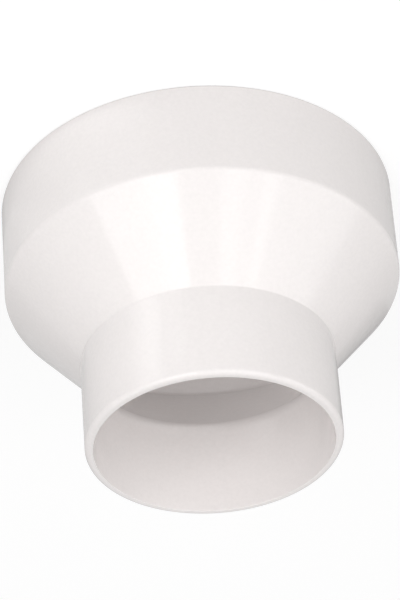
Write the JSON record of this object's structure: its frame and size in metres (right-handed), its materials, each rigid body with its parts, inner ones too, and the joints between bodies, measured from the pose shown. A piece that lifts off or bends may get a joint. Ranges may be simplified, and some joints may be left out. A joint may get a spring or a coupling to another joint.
{
  "type": "duct reducer",
  "caption": "Round moulded reducer: a wide socket, a cone and a narrow spigot in one thin wall, which joins a wide air duct to a narrow one.",
  "frame": {"origin": "centre of the socket's rim, on the plane that the reducer stands on", "axes": "+Z along the duct axis from the wide socket to the narrow spigot"},
  "size_m": [0.1568, 0.1568, 0.115],
  "materials": {
    "white_plastic": "moulded gloss white"
  },
  "bodies": {
    "root": {"reducer_body": "white_plastic"}
  },
  "joints": []
}
